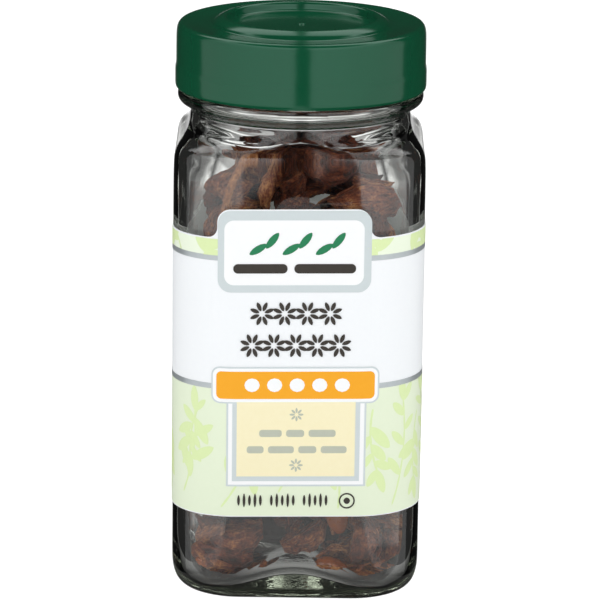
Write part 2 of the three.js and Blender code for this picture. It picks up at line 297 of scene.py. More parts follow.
def square_point(turn, half, corner):
    """The point of a square with rounded corners that lies at this turn from its middle."""
    ax, ay = abs(math.cos(turn)), abs(math.sin(turn))
    flat = half - corner
    reach = half / max(ax, ay)
    if min(ax, ay) * reach > flat:
        across = flat * (ax + ay)
        reach = across + math.sqrt(max(across * across - 2 * flat * flat + corner * corner, 0))
    return reach * math.cos(turn), reach * math.sin(turn)


def selected_points(piece):
    """The selected vertices of a piece in edit mode, with its mesh."""
    mesh = bmesh.from_edit_mesh(piece.data)
    return mesh, [v for v in mesh.verts if v.select]


def close_pole(piece, height):
    """Draws the selected ring together to a point on the axis at this height."""
    bpy.ops.mesh.extrude_region_move()
    bpy.ops.mesh.merge(type="CENTER")
    mesh, tip = selected_points(piece)
    tip[0].co = (0, 0, height)
    bmesh.update_edit_mesh(piece.data)


def select_ring(piece, height, reach):
    """Selects the open edges of the ring at this height that lie within this reach of the axis."""
    bpy.ops.mesh.select_all(action="DESELECT")
    mesh = bmesh.from_edit_mesh(piece.data)
    for edge in mesh.edges:
        middle = (edge.verts[0].co + edge.verts[1].co) / 2
        if edge.is_boundary and abs(middle.z - height) < 0.3 and middle.xy.length < reach:
            edge.select_set(True)
    bmesh.update_edit_mesh(piece.data)


def edit_all():
    """Enters edit mode with everything selected."""
    bpy.ops.object.mode_set(mode="EDIT")
    bpy.ops.mesh.select_all(action="SELECT")


def finish_shell():
    """Turns every face of the piece in edit mode outwards, leaves edit mode and shades it smooth."""
    bpy.ops.mesh.select_all(action="SELECT")
    bpy.ops.mesh.normals_make_consistent(inside=False)
    bpy.ops.object.mode_set(mode="OBJECT")
    bpy.ops.object.shade_smooth()


def set_down(piece, name, slot, *materials):
    """Brings a piece from millimetres to metres and gives it its name, finish and body; the slot is not used.
    """
    bpy.ops.object.select_all(action="DESELECT")
    piece.select_set(True)
    bpy.context.view_layer.objects.active = piece
    piece.scale = (MM, MM, MM)
    bpy.ops.object.transform_apply(location=True, rotation=True, scale=True)
    piece.name = name
    piece.data.name = name
    piece.data.materials.clear()
    for material in materials:
        piece.data.materials.append(material)
    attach(piece, "root")


def jar_level(piece, row, inside):
    """Shapes the selected ring to one level of the mould."""
    half, level, corner = row
    mesh, ring = selected_points(piece)
    for v in ring:
        turn = math.atan2(v.co.y, v.co.x)
        to_corner = 0.5 - 0.5 * math.cos(4 * turn)
        x, y = square_point(turn, half, corner)
        z = level
        if EAR_FROM < level < EAR_FROM + EAR_HIGH:
            ear = math.sin(math.pi * (level - EAR_FROM) / EAR_HIGH) ** 2
            z += EAR_RISE * ear * to_corner ** 2
        if not inside and CROWN_FROM < level < CROWN_END:
            along = min(abs(x) / (half - 0.293 * corner), 1) if abs(y) > abs(x) else 1
            crown = FACE_CROWN * min((level - CROWN_FROM) / (CROWN_FULL - CROWN_FROM), 1) ** 0.8
            crown *= 2.6 * along ** 2 * (1 - along ** 6) ** 2 * min((CROWN_END - level) / 1.5, 1)
            y *= 1 - crown / half
        if inside and level < 84:
            broad = noise.noise(Vector((1.3 * math.cos(turn), 1.3 * math.sin(turn), level / 26)))
            shift = INNER_WAVE * broad
            narrow = noise.noise(Vector((5 * math.cos(turn), 5 * math.sin(turn), level / 9)))
            shift += 0.35 * INNER_WAVE * narrow
            x *= 1 + shift / half
            y *= 1 + shift / half
            if level < 7:
                z += FLOOR_WAVE * (0.5 - to_corner) * min(1, (7 - level) / 2.5)
        v.co = (x, y, z)
    bmesh.update_edit_mesh(piece.data)


outside = softened(JAR_OUTSIDE)
inside = softened(JAR_INSIDE)
bpy.ops.object.select_all(action="DESELECT")
bpy.ops.mesh.primitive_circle_add(vertices=JAR_POINTS, radius=outside[0][0])
jar = bpy.context.object
edit_all()
jar_level(jar, outside[0], False)
for step, row in enumerate(outside[1:] + inside):
    bpy.ops.mesh.extrude_region_move()
    jar_level(jar, row, step >= len(outside) - 1)
close_pole(jar, FLOOR_MIDDLE)
select_ring(jar, JAR_OUTSIDE[0][1], 16)
close_pole(jar, BASE_MIDDLE)
finish_shell()

# Soda-lime glass bends light by 1.52 and is clear, with the green of iron where it is thick.
glass, glass_tree, glass_shader = new_material("clear_soda_lime_glass", {
    "Base Color": (1, 1, 1, 1), "Roughness": 0.0, "IOR": 1.52, "Transmission Weight": 1.0,
})
GLASS_GREEN = (0.65, 0.92, 0.3, 1)
# The underside is stippled, in dimples about 0.6 mm across, to hide the shear mark of the gob.
STIPPLE_BELOW = 1.9 * MM
glass_place = add_node(glass_tree, "ShaderNodeTexCoord").outputs["Object"]
stipple = add_node(glass_tree, "ShaderNodeTexNoise", {"Vector": glass_place, "Scale": 1200.0, "Detail": 2.0})
level = add_node(glass_tree, "ShaderNodeSeparateXYZ", {0: glass_place}).outputs["Z"]
below = add_node(glass_tree, "ShaderNodeMath", {"operation": "LESS_THAN", 0: level, 1: STIPPLE_BELOW})
dimples = {"operation": "MULTIPLY", 0: stipple.outputs["Fac"], 1: below.outputs[0]}
dimples = add_node(glass_tree, "ShaderNodeMath", dimples)
dimples = {"Height": dimples.outputs[0], "Strength": 0.35, "Distance": 0.00012}
glass_bump = add_node(glass_tree, "ShaderNodeBump", dimples)
glass_tree.links.new(glass_bump.outputs[0], glass_shader.inputs["Normal"])
glass_body = add_node(glass_tree, "ShaderNodeVolumeAbsorption", {"Color": GLASS_GREEN, "Density": 10.0})
glass_tree.links.new(glass_body.outputs[0], glass_tree.nodes["Material Output"].inputs["Volume"])

set_down(jar, "square_jar", "glass", glass)
jar.visible_shadow = False
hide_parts("glass_jar")


# ---- Screw lid ---------------------------------------------------------------------------------
# A deep green screw lid, moulded in polypropylene: a smooth skirt, a dished top with a raised ring,
# and the small gate mark that the mould leaves near the middle.
LID_POINTS = 128
# Radius and height of each step, from the middle of the underside out, up and in to the gate mark.
LID_ROWS = [
    (0.4, 100.0), (20.6, 100.0), (21.2, 99.6), (21.25, 90.1), (21.55, 89.8), (22.15, 89.8), (22.4, 90.1),
    (22.4, 92.0), (22.4, 93.0), (22.38, 93.5), (22.24, 94.1), (22.24, 94.8), (22.24, 97.5), (22.22, 99.9),
    (22.05, 100.75), (21.65, 101.25), (21.1, 101.42), (20.0, 101.25), (17.6, 100.98), (16.3, 100.95),
    (15.95, 101.05), (15.7, 101.4), (15.35, 101.75), (14.7, 102.15), (14.05, 102.42), (13.6, 102.42),
    (13.25, 102.05), (13.0, 101.4), (12.75, 100.98), (12.2, 100.95), (8, 100.95), (1.2, 100.93),
    (0.65, 100.93), (0.55, 101.12), (0.4, 101.16),
]
LINER_ABOVE = 99.0

lid_rows = softened(LID_ROWS)
bpy.ops.object.select_all(action="DESELECT")
bpy.ops.mesh.primitive_circle_add(vertices=LID_POINTS, radius=lid_rows[0][0], location=(0, 0, lid_rows[0][1]))
lid = bpy.context.object
edit_all()
for (radius, level), (next_radius, next_level) in zip(lid_rows, lid_rows[1:]):
    bpy.ops.mesh.extrude_region_move(TRANSFORM_OT_translate={"value": (0, 0, next_level - level)})
    grow = next_radius / radius
    bpy.ops.transform.resize(value=(grow, grow, 1), center_override=(0, 0, 0))
bpy.ops.object.mode_set(mode="OBJECT")
bpy.ops.object.transform_apply(location=True, rotation=True, scale=True)
bpy.ops.object.mode_set(mode="EDIT")
for _, level in (lid_rows[-1], lid_rows[0]):
    select_ring(lid, level, 1)
    close_pole(lid, level)
finish_shell()


def mottle(tree, shader, place, scale, detail, first, second):
    """Clouds of two close colours on a shader's base; gives the clouds."""
    clouds = add_node(tree, "ShaderNodeTexNoise", {"Vector": place, "Scale": scale, "Detail": detail})
    tone = {"data_type": "RGBA", 0: clouds.outputs["Fac"], 6: ink(first), 7: ink(second)}
    tone = add_node(tree, "ShaderNodeMix", tone)
    tree.links.new(tone.outputs[2], shader.inputs["Base Color"])
    return clouds.outputs["Fac"]


# Injection-moulded polypropylene: smooth and glossy, with a faint cloudiness and a soft ripple.
lid_plastic, lid_tree, lid_shader = new_material("moulded_green_polypropylene", {
    "IOR": 1.49, "Roughness": 0.14, "Specular Tint": (0.64, 1.0, 0.86, 1),
})
lid_place = add_node(lid_tree, "ShaderNodeTexCoord").outputs["Object"]
mottle(lid_tree, lid_shader, lid_place, 70.0, 3.0, "#0b432b", "#0e4d33")
lid_ripple = add_node(lid_tree, "ShaderNodeTexNoise", {"Vector": lid_place, "Scale": 160.0, "Detail": 2.0})
lid_ripple = {"Height": lid_ripple.outputs["Fac"], "Strength": 0.06, "Distance": 0.0004}
lid_bump = add_node(lid_tree, "ShaderNodeBump", lid_ripple)
lid_tree.links.new(lid_bump.outputs[0], lid_shader.inputs["Normal"])

# The liner pressed into the lid: a round of grey pulp board that seals on the jar's rim.
liner, liner_tree, liner_shader = new_material("grey_pulp_liner", {"Roughness": 0.8})
liner_place = add_node(liner_tree, "ShaderNodeTexCoord").outputs["Object"]
mottle(liner_tree, liner_shader, liner_place, 900.0, 4.0, "#767a70", "#8e9188")

set_down(lid, "screw_lid", "lid_green", lid_plastic, liner)
for face in lid.data.polygons:
    if face.normal.z < -0.5 and face.center.z > LINER_ABOVE * MM:
        face.material_index = 1
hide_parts("lid")


# ---- Paper label -------------------------------------------------------------------------------
# One strip of white coated paper with a raised tab at the front, glued round the jar a little askew.
# It is cut flat, scored where the jar's corners come, bent round and lapped at the middle of the back.
LABEL_FOOT = 16.35
LABEL_HEAD = 67.2
TAB_LEFT = -14.35
TAB_RIGHT = 12.65
TAB_HEAD = 72.36
LABEL_LAP = 5.0
LABEL_SLANT = math.tan(math.radians(0.87))
PAPER_LIFT = 0.09
# At the lap the paper climbs over its other end.
LAP_RUN = 3.0
LAP_LIFT = 0.15
# The bend at a corner, half of a flat side, and the way round from the front's middle to the back's.
BEND = 11.6
FLAT = 10.7
BEND_RUN = math.pi / 2 * (BEND + 0.15)
HALF_WAY = 4 * FLAT + 2 * BEND_RUN
SCORE = 1.0
# The jar widens this little up its straight side: half its width at the foot, and from and over what height.
SIDE_HALF = 22.15
SIDE_GROWS = 0.15
SIDE_FOOT = 6
SIDE_HIGH = 61


def jar_half(z):
    """Half the jar's width behind the label."""
    return SIDE_HALF + SIDE_GROWS * min(max((z - SIDE_FOOT) / SIDE_HIGH, 0), 1)


def round_jar(s, t, lift):
    """Where a point of the flat label goes: s runs round from the front, to the right, and t up."""
    side = math.copysign(1, s)
    run = abs(s)
    z = t + s * LABEL_SLANT
    lap = min(max((s - HALF_WAY + LAP_RUN) / LAP_RUN, 0), 1)
    lift += LAP_LIFT * lap * lap * (3 - 2 * lap)
    flat = jar_half(z) - BEND
    reach = BEND + lift
    turn = 0.0
    x, y = 0.0, -flat - reach
    for length, bends in ((FLAT, 0), (BEND_RUN, 1), (2 * FLAT, 0), (BEND_RUN, 1), (2 * FLAT, 0)):
        part = min(run, length)
        centre = (x - reach * math.sin(turn), y + reach * math.cos(turn))
        if bends:
            turn += part / BEND_RUN * math.pi / 2
            x, y = centre[0] + reach * math.sin(turn), centre[1] - reach * math.cos(turn)
        else:
            x += math.cos(turn) * part * flat / FLAT
            y += math.sin(turn) * part * flat / FLAT
        run -= part
        if run <= 0:
            break
    return Vector((side * x, y, z))


def score_lines():
    """The lines, along the flat label, at which it bends."""
    lines = []
    for start in (FLAT, 3 * FLAT + BEND_RUN):
        count = round(BEND_RUN / SCORE)
        lines += [start + BEND_RUN * k / count for k in range(count + 1)]
    lines += [HALF_WAY - LAP_RUN + 0.5 * k for k in range(7)]
    return sorted([-line for line in lines] + lines)


def join_pieces(parts):
    """Joins several meshes into the first one of them."""
    bpy.ops.object.select_all(action="DESELECT")
    for part in parts:
        part.select_set(True)
    bpy.context.view_layer.objects.active = parts[0]
    if len(parts) > 1:
        bpy.ops.object.join()
    return bpy.context.object


# Prints that overlap lie this far apart, so that no two faces share a place.
INK_STEP = 0.0004
INK_STEPS = 42


def press_on(shapes, name, lift, thickness, material, low=None, high=None, back=None):
    """Joins flat shapes, trims them between two heights, scores them, bends them round the jar."""
    for k, shape in enumerate(shapes):
        for v in shape.data.vertices:
            v.co.z = INK_STEP * (k % INK_STEPS)
    sheet = join_pieces(shapes)
    bpy.ops.object.transform_apply(location=True, rotation=True, scale=True)
    bpy.ops.object.mode_set(mode="EDIT")
    for edge, above in ((low, False), (high, True)):
        if edge is not None:
            bpy.ops.mesh.select_all(action="SELECT")
            plane = {"plane_co": (0, edge, 0), "plane_no": (0, 1, 0)}
            bpy.ops.mesh.bisect(**plane, clear_inner=not above, clear_outer=above)
    bpy.ops.object.mode_set(mode="OBJECT")
    ends = [v.co.x for v in sheet.data.vertices]
    bpy.ops.object.mode_set(mode="EDIT")
    for line in score_lines():
        if min(ends) < line < max(ends):
            bpy.ops.mesh.select_all(action="SELECT")
            bpy.ops.mesh.bisect(plane_co=(line, 0, 0), plane_no=(1, 0, 0))
    bpy.ops.mesh.select_all(action="SELECT")
    bpy.ops.mesh.remove_doubles(threshold=0.0001)
    bpy.ops.object.mode_set(mode="OBJECT")
    for v in sheet.data.vertices:
        v.co = round_jar(v.co.x, v.co.y, lift + v.co.z)
    wall = sheet.modifiers.new("thickness", "SOLIDIFY")
    wall.thickness = thickness
    wall.offset = 1.0
    inks = [material, back] if back else [material]
    for coat in inks:
        sheet.data.materials.append(coat)
    wall.material_offset = len(inks) - 1
    bpy.ops.object.modifier_apply(modifier=wall.name)
    bpy.ops.object.shade_smooth_by_angle(angle=math.radians(35))
    set_down(sheet, name, "label_paper", *inks)
    return sheet


def flat_box(left, right, foot, head, corner=0.0):
    """A flat rectangle of the label, with rounded corners."""
    bpy.ops.mesh.primitive_plane_add(size=1, location=((left + right) / 2, (foot + head) / 2, 0))
    box = bpy.context.object
    box.scale = (right - left, head - foot, 1)
    bpy.ops.object.transform_apply(location=True, rotation=True, scale=True)
    if corner > 0:
        edit_all()
        bpy.ops.mesh.bevel(offset=corner, segments=8, affect="VERTICES")
        bpy.ops.object.mode_set(mode="OBJECT")
    return box


def flat_ring(s, t, across, line):
    """A flat ring, so wide across, with a line of this width."""
    bpy.ops.mesh.primitive_circle_add(vertices=24, radius=1, fill_type="NGON", location=(0, 0, 0))
    ring = bpy.context.object
    for v in ring.data.vertices:
        v.co = (s + v.co.x * across / 2, t + v.co.y * across / 2, 0)
    edit_all()
    bpy.ops.mesh.inset(thickness=line)
    bpy.ops.mesh.delete(type="FACE")
    bpy.ops.object.mode_set(mode="OBJECT")
    return ring


def flat_petal(s, t, turn, length, width, points=14, sharp=0.75):
    """A flat pointed oval that starts at (s, t) and runs at this turn: a leaf, a lozenge or a ray."""
    bpy.ops.mesh.primitive_circle_add(vertices=points, radius=1, fill_type="NGON", location=(0, 0, 0))
    petal = bpy.context.object
    for v in petal.data.vertices:
        along, across = v.co.x, v.co.y
        across = math.copysign(abs(across) ** (1 / sharp), across)
        x, y = (along + 1) / 2 * length, across * width / 2
        v.co = (s + x * math.cos(turn) - y * math.sin(turn), t + x * math.sin(turn) + y * math.cos(turn), 0)
    return petal


def printed(name, colour, cloud, roughness=0.42, metal=0.0):
    """Offset-printed ink on coated paper: an even field with a faint mottle and the paper's satin."""
    material, tree, shader = new_material(name, {
        "Roughness": roughness, "Metallic": metal, "IOR": 1.45, "Specular IOR Level": 0.25,
    })
    place = add_node(tree, "ShaderNodeTexCoord").outputs["Object"]
    # Mottle about 0.7 mm across.
    mottle(tree, shader, place, 1400.0, 3.0, colour, cloud)
    fibre = add_node(tree, "ShaderNodeTexNoise", {"Vector": place, "Scale": 2600.0, "Detail": 2.0})
    bump = {"Height": fibre.outputs["Fac"], "Strength": 0.05, "Distance": 0.0001}
    bump = add_node(tree, "ShaderNodeBump", bump)
    tree.links.new(bump.outputs[0], shader.inputs["Normal"])
    return material


# The paper: a strip, its tab drawn up out of the top edge, the tab's corners rounded and filleted.
bpy.ops.object.select_all(action="DESELECT")
paper = flat_box(-HALF_WAY, HALF_WAY + LABEL_LAP, LABEL_FOOT, LABEL_HEAD)
bpy.ops.object.mode_set(mode="EDIT")
for line in (TAB_LEFT, TAB_RIGHT):
    bpy.ops.mesh.select_all(action="SELECT")
    bpy.ops.mesh.bisect(plane_co=(line, 0, 0), plane_no=(1, 0, 0))
bpy.ops.mesh.select_all(action="DESELECT")
edit = bmesh.from_edit_mesh(paper.data)
for edge in edit.edges:
    middle = (edge.verts[0].co + edge.verts[1].co) / 2
    if abs(middle.y - LABEL_HEAD) < 0.01 and TAB_LEFT < middle.x < TAB_RIGHT:
        edge.select_set(True)
bmesh.update_edit_mesh(paper.data)
bpy.ops.mesh.extrude_region_move(TRANSFORM_OT_translate={"value": (0, TAB_HEAD - LABEL_HEAD, 0)})
bpy.ops.mesh.select_all(action="SELECT")
bpy.ops.mesh.dissolve_faces()
for height, corner in ((TAB_HEAD, 2.4), (LABEL_HEAD, 1.8)):
    bpy.ops.mesh.select_all(action="DESELECT")
    edit = bmesh.from_edit_mesh(paper.data)
    for v in edit.verts:
        if abs(v.co.y - height) < 0.01 and TAB_LEFT - 0.01 < v.co.x < TAB_RIGHT + 0.01:
            v.select_set(True)
    bmesh.update_edit_mesh(paper.data)
    bpy.ops.mesh.bevel(offset=corner, segments=10, affect="VERTICES")
bpy.ops.object.mode_set(mode="OBJECT")

# Coated paper, white and satin at the front. Its back, which shows through the glass, is painted a dull
# yellow-grey: painted shade, for the back of the paper in the jar's shade.
coated_paper = printed("coated_white_paper", "#f2f5f8", "#f5f8fa", 0.45)
shaded_paper_back = printed("paper_back_painted_shade", "#9c9b70", "#a8a77c", 0.6)
paper = press_on([paper], "label_sheet", -0.02, PAPER_LIFT + 0.02, coated_paper, back=shaded_paper_back)
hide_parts("label")

# How thick the ink is drawn, and how far apart its layers lie on the paper.
INK_THICK = 0.008
INK_LAYER = 0.012


def print_on(shapes, name, layer, ink_used, low=None, high=None):
    """Presses flat shapes on the paper in one of the layers of ink."""
    press_on(shapes, name, PAPER_LIFT + INK_LAYER * layer, INK_THICK, ink_used, low, high)


# The pale green fields above and below the white middle, with a sprig pattern in a second green.
UPPER_FIELD = (64.0, 66.95)
LOWER_FIELD = (16.5, 39.8)
field_ends = (-HALF_WAY + 0.3, HALF_WAY + LABEL_LAP - 0.3)
pale_green = printed("printed_pale_green", "#edf7e1", "#f0f9e4")
soft_green = printed("printed_soft_green", "#e5f0d5", "#e8f2d9")
print_on([flat_box(*field_ends, *UPPER_FIELD)], "label_upper_field", 1, pale_green)
print_on([flat_box(*field_ends, *LOWER_FIELD)], "label_lower_field", 1, soft_green)


def sprig(s, t, turn, length, rng):
    """A bent stem with leaves by turns on either side and one at its tip."""
    shapes = []
    steps = 7
    for k in range(steps):
        heading = turn + 0.55 * (k / steps - 0.5)
        stride = length / steps
        start = (s - 0.2 * math.cos(heading), t - 0.2 * math.sin(heading))
        shapes.append(flat_petal(*start, heading, stride + 0.6, 0.42, 8, 1.4))
        s += stride * math.cos(heading)
        t += stride * math.sin(heading)
        if k > 0:
            side = 1 if k % 2 else -1
            size = rng.uniform(4.2, 6.0) * (1 - 0.35 * k / steps)
            opens = heading + side * rng.uniform(0.6, 0.95)
            shapes.append(flat_petal(s, t, opens, size, size * rng.uniform(0.34, 0.44), 16))
    shapes.append(flat_petal(s, t, heading, 4.6, 1.7, 16))
    return shapes


rng = random.Random(41)
lower_sprigs = []
for k in range(15):
    across = -HALF_WAY + 6 + k * (2 * HALF_WAY - 6) / 15
    place = (across + rng.uniform(-1.5, 1.5), rng.uniform(16, 21))
    lower_sprigs += sprig(*place, rng.uniform(1.15, 1.95), rng.uniform(15, 20), rng)
    place = (across + 5.4 + rng.uniform(-1, 1), rng.uniform(33, 37))
    lower_sprigs += sprig(*place, rng.uniform(4.3, 5.1), rng.uniform(9, 13), rng)
upper_sprigs = []
for k in range(26):
    across = -HALF_WAY + 3 + k * (2 * HALF_WAY - 3) / 26
    upper_sprigs += sprig(across, rng.uniform(60, 64), rng.uniform(0.5, 2.4), 7, rng)
leaf_green = printed("printed_leaf_green", "#dcedb2", "#e0f1b8")
print_on(lower_sprigs, "label_lower_sprigs", 2, leaf_green, *LOWER_FIELD)
print_on(upper_sprigs, "label_upper_sprigs", 2, leaf_green, *UPPER_FIELD)

# Two silver rules that part the fields from the white middle.
silver = printed("printed_silver_ink", "#b4bbbe", "#c2c9cb", 0.3, 0.5)
rules = [flat_box(*field_ends, 63.1, 64.05), flat_box(*field_ends, 39.82, 40.77)]
print_on(rules, "label_silver_rules", 3, silver)

# The grey frame of the tab, the banner's and the panel's outlines, each a plate with a white one on it.
grey = printed("printed_grey", "#ccd5d7", "#d0d9db")
white = printed("printed_white", "#f6f8f9", "#f9fafb")
tab_frame = flat_box(-14.2, 12.8, 57.44, 72.12, 2.3)
banner_line = flat_box(-15.26, 14.65, 37.23, 43.91, 1.5)
panel_line = flat_box(-12.46, 12.39, 21.98, 39.0)
print_on([tab_frame, panel_line], "label_grey_frames", 4, grey)
panel_white = flat_box(-12.12, 12.05, 22.3, 39.0)
tab_white = flat_box(-13.03, 11.5, 58.76, 70.43, 1.7)
print_on([panel_white, tab_white], "label_white_plates", 5, white)
print_on([flat_box(-11.41, 11.3, 22.95, 39.0), banner_line], "label_grey_plates", 6, grey)
yellow = printed("printed_pale_yellow", "#f6edc4", "#f9f1cc")
print_on([flat_box(-10.63, 10.47, 23.83, 37.5)], "label_yellow_panel", 7, yellow)
print_on([flat_box(-14.98, 14.37, 37.5, 43.63, 1.3)], "label_banner_plate", 7, white)
orange = printed("printed_orange", "#f5a826", "#f7ad2b")
print_on([flat_box(-14.33, 13.81, 38.07, 43.07, 0.9)], "label_orange_banner", 8, orange)


def flat_anise(s, t, size, turn=0.0):
    """A plain eight-pointed star of pointed ovals."""
    rays = []
    for k in range(8):
        a = turn + math.pi / 4 * k
        start = (s + 0.12 * size * math.cos(a), t + 0.12 * size * math.sin(a))
        rays.append(flat_petal(*start, a, 0.4 * size, 0.17 * size, 12))
    return rays


# Plain printed shapes stand in the places of words, in the same inks: rows of stars, bars, upright pointed
# ovals and a ring with a dot.
dark = printed("printed_dark_grey", "#3a3631", "#413c37")
dark_shapes = []
for count, start, pitch, row in ((4, -6.3, 4.0, 53.6), (5, -8.0, 3.85, 47.8)):
    for k in range(count):
        dark_shapes += flat_anise(start + pitch * k, row, 4.3, 0.39)
dark_shapes += [flat_box(-11.4, -1.9, 60.9, 62.6, 0.8), flat_box(-0.7, 10.1, 60.9, 62.6, 0.8)]
# The upright ovals stand in groups of five.
OVALS = 18
OVAL_ROW = 19.4
for k in range(OVALS):
    if k % 6 != 5:
        tall = 2.6 if k % 2 else 2.0
        dark_shapes.append(flat_petal(-10.2 + 0.98 * k, OVAL_ROW - tall / 2, math.pi / 2, tall, 0.5))
dark_shapes += [flat_ring(9.2, 19.3, 2.9, 0.26), flat_petal(8.6, 19.3, 0, 1.2, 1.2)]
print_on(dark_shapes, "label_dark_shapes", 9, dark)

green = printed("printed_green", "#277c53", "#2c845a")
lozenges = []
for k in range(6):
    lozenges.append(flat_petal(-8.6 + 2.9 * k, 64.3 + 1.1 * (k % 2), 0.9 if k % 2 else 0.55, 3.6, 1.3))
print_on(lozenges, "label_green_lozenges", 9, green)
white_marks = [flat_petal(-9.3 + 4.0 * k, 40.6, 0, 2.7, 2.5, 12, 1.0) for k in range(5)]
print_on(white_marks, "label_white_lozenges", 9, white)

# The bars of each row run from and to these places, from the row's start.
GREY_ROWS = [
    (-6.6, 31.1, ((0, 4.0), (4.8, 8.0), (8.8, 13.6))),
    (-8.8, 28.1, ((0, 3.0), (3.8, 8.4), (9.2, 12.4), (13.2, 17.8))),
]
grey_marks = []
for start, foot, bars in GREY_ROWS:
    grey_marks += [flat_box(start + a, start + b, foot, foot + 1.3, 0.5) for a, b in bars]
grey_marks += flat_anise(0, 35.2, 2.4) + flat_anise(0, 25.9, 2.4)
panel_grey = printed("printed_mid_grey", "#b9bdae", "#c0c4b4")
print_on(grey_marks, "label_grey_marks", 8, panel_grey)


# ---- Star anise pods ---------------------------------------------------------------------------
# A pod is a woody follicle, shaped like a boat with a beak: wrinkled outside, split along its top
# edge, smooth and red-brown inside. Eight or so grow round one middle and make a star.
POD_LENGTH = 12.8
POD_DEPTH = 6.4
POD_WIDTH = 4.6
POD_WALL = 0.45
POD_START = 0.9
# How deep, how wide, how high and how far open a pod is from its middle to its beak.
KEEL_LINE = [(0, 0.5), (0.2, 0.84), (0.45, 1.0), (0.7, 0.78), (0.88, 0.38), (1.0, 0.07)]
SIDE_LINE = [(0, 0.42), (0.15, 0.68), (0.4, 1.0), (0.68, 0.86), (0.9, 0.34), (1.0, 0.08)]
LIP_LINE = [(0, -0.3), (0.3, 0.25), (0.6, 0.35), (0.85, 0.8), (1.0, 1.7)]
MOUTH_LINE = [(0, 0.05), (0.2, 0.65), (0.5, 1.0), (0.78, 0.75), (0.93, 0.12), (1.0, 0.0)]


def along_line(line, u):
    """The height of a smooth line through a few stations, at u."""
    for (a, low), (b, high) in zip(line, line[1:]):
        if u <= b:
            part = (u - a) / (b - a)
            return low + (high - low) * part * part * (3 - 2 * part)
    return line[-1][1]


def pod_point(u, v, pod):
    """A point of a pod's outside, with its wrinkle's height: u runs to the beak and v over the keel."""
    side = abs(v)
    way = math.copysign(1, v)
    half = pod["width"] / 2 * along_line(SIDE_LINE, u)
    mouth = pod["gape"] / 2 * along_line(MOUTH_LINE, u)
    lip = pod["beak"] * along_line(LIP_LINE, u)
    keel = pod["depth"] * along_line(KEEL_LINE, u)
    y = half * math.sin(min(side / 0.7, 1) * math.pi / 2) ** 0.85
    if side > 0.7:
        near = (side - 0.7) / 0.3
        y += (mouth - half) * near * near * (3 - 2 * near)
    z = lip - keel * math.cos(side * math.pi / 2) ** 0.9
    x = POD_START + u * (pod["length"] - POD_START)
    push = Vector((0, y * way, z - lip + 0.4 * keel))
    push = push.normalized() if push.length > 0.01 else Vector((0, 0, -1))
    # Lumps and creases of the dried skin, which die out at the beak and near the lips.
    seed = pod["seed"]
    run, over = 13 * u, 5.5 * v
    lump = noise.noise(Vector((0.22 * run + seed, 0.3 * over, seed)))
    crease = 1 - 2.2 * abs(noise.noise(Vector((0.2 * run + 0.2 * over, 0.9 * over - 0.1 * run, seed + 5))))
    fine = 1 - 2.2 * abs(noise.noise(Vector((0.5 * run + seed, 2.1 * over - 0.3 * run, seed))))
    wrinkle = 0.3 * crease + 0.22 * fine
    rough = pod["rough"] * (0.6 * lump + wrinkle - 0.25)
    rough *= min(1, 7 * (1 - u) + 0.2)
    rough *= 1 - 0.5 * side ** 6
    point = Vector((x, y * way, z)) + push * rough
    point.y += pod["bend"] * u * u
    point.z += pod["sag"] * (u - 0.5) ** 2
    return point, wrinkle


def any_pod(rng, **measures):
    """The measures of one pod; no two are alike."""
    pod = {
        "length": POD_LENGTH * rng.uniform(0.86, 1.1),
        "depth": POD_DEPTH * rng.uniform(0.85, 1.12),
        "width": POD_WIDTH * rng.uniform(0.82, 1.15),
        "gape": rng.uniform(0.5, 3.4),
        "seed": rng.uniform(0, 60),
        "rough": rng.uniform(1.0, 1.6),
        "bend": rng.uniform(-1.0, 1.0),
        "sag": rng.uniform(-0.8, 1.6),
        "lift": rng.uniform(-3, 13),
        "tone": rng.random(),
        "beak": 1.0,
    }
    pod.update(measures)
    return pod


# What the husk material reads at each point: how high it stands in a wrinkle, which also paints the crests
# lighter and the creases darker as painted highlight and painted shade, how pale the pod is, and its place
# along and across the fibres.
HUSK_READS = (("ridge_and_painted_light", "FLOAT"), ("tone", "FLOAT"), ("grain", "FLOAT_VECTOR"))


def husk_points(piece):
    """Each point of a piece, with its wrinkle height and painted light, the tone and the grain to be set
    there.
    """
    for name, kind in HUSK_READS:
        piece.data.attributes.new(name, kind, "POINT")
    return zip(piece.data.vertices, *(piece.data.attributes[name].data for name, _ in HUSK_READS))


def model_pod(pod, along, around):
    """A sheet folded into a boat, then given its wall: hull outside, lining inside, lips at the rim."""
    bpy.ops.mesh.primitive_grid_add(x_subdivisions=along, y_subdivisions=around, size=2)
    hull = bpy.context.object
    edit_all()
    bpy.ops.mesh.flip_normals()
    bpy.ops.object.mode_set(mode="OBJECT")
    for v, high, shade, fibre in husk_points(hull):
        u, over = (v.co.x + 1) / 2, v.co.y
        fibre.vector = (u * pod["length"], over * pod["depth"], pod["seed"])
        v.co, wrinkle = pod_point(u, over, pod)
        # The wrinkle's height, which the husk material also uses to paint crests lighter and creases darker:
        # painted highlight and painted shade.
        high.value = 0.5 + wrinkle
        shade.value = pod["tone"]
    for _ in range(3):
        hull.data.materials.append(None)
    wall = hull.modifiers.new("wall", "SOLIDIFY")
    wall.thickness = POD_WALL
    wall.offset = -1
    wall.thickness_clamp = 1.2
    wall.material_offset = 1
    wall.material_offset_rim = 2
    bpy.ops.object.modifier_apply(modifier=wall.name)
    bpy.ops.object.shade_smooth()
    return hull


def any_star(rng, **measures):
    """A star: its eight pods and the turn at which each one grows."""
    star = []
    for k in range(8):
        grow = rng.choice((1.0, 1.0, 1.0, 0.94, 0.86))
        turn = 2 * math.pi * (k + rng.uniform(-0.12, 0.12)) / 8
        pod = any_pod(rng, **measures)
        lift = Matrix.Rotation(-math.radians(pod["lift"]), 4, "Y")
        star.append((pod, Matrix.Rotation(turn, 4, "Z") @ lift @ Matrix.Scale(grow, 4)))
    return star


